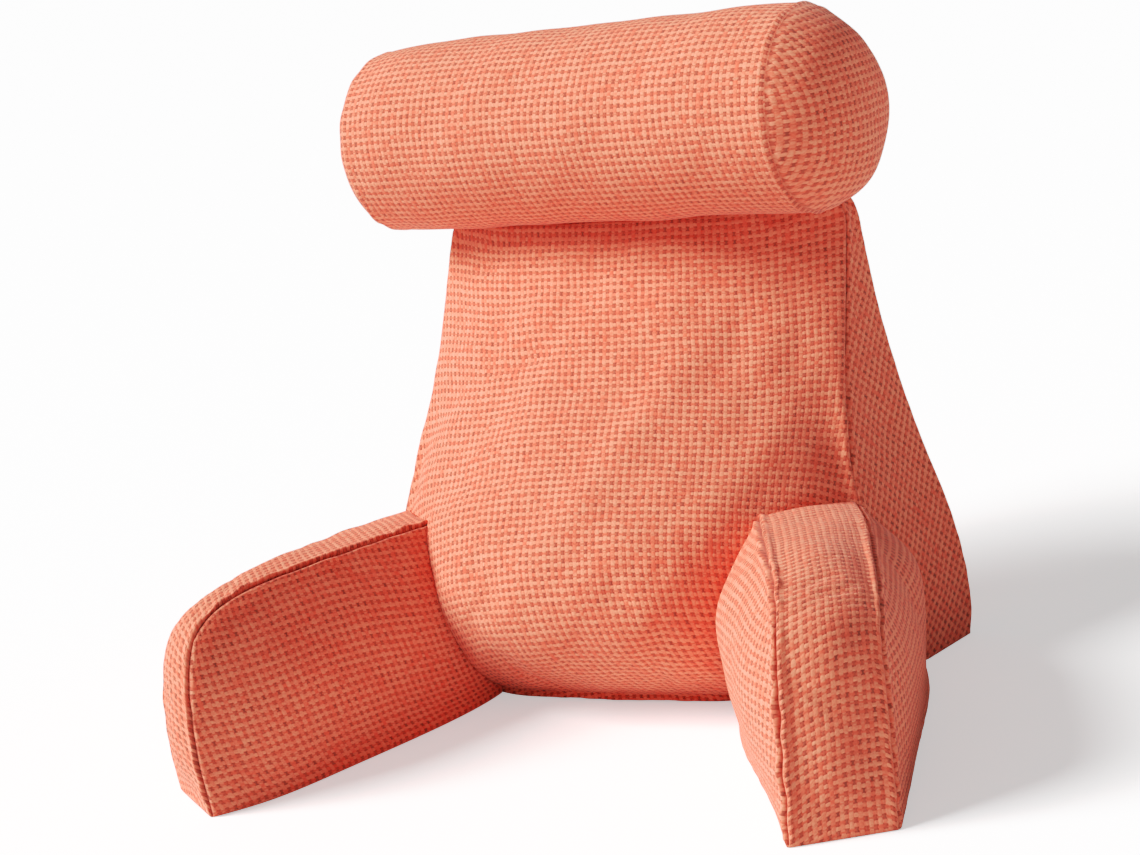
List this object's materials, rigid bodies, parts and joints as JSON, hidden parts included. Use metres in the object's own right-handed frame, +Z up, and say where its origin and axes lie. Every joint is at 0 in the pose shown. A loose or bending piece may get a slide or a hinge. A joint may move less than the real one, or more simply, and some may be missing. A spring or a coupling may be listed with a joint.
{
  "type": "backrest pillow",
  "caption": "Filled backrest pillow: a reclined wedge back with arms at both sides and a neck roll on top, all in coral basket-weave cloth.",
  "frame": {"origin": "on the floor, under the middle of the whole pillow's box", "axes": "+Z up, the sitter faces -Y and leans back towards +Y, +X to the right for a viewer in front"},
  "size_m": [0.7188, 0.5949, 0.639],
  "materials": {
    "coral_weave": "matt coarse basket weave"
  },
  "bodies": {
    "root": {"back_cushion": "coral_weave", "arm_left": "coral_weave", "arm_right": "coral_weave", "neck_roll": "coral_weave"}
  },
  "joints": []
}
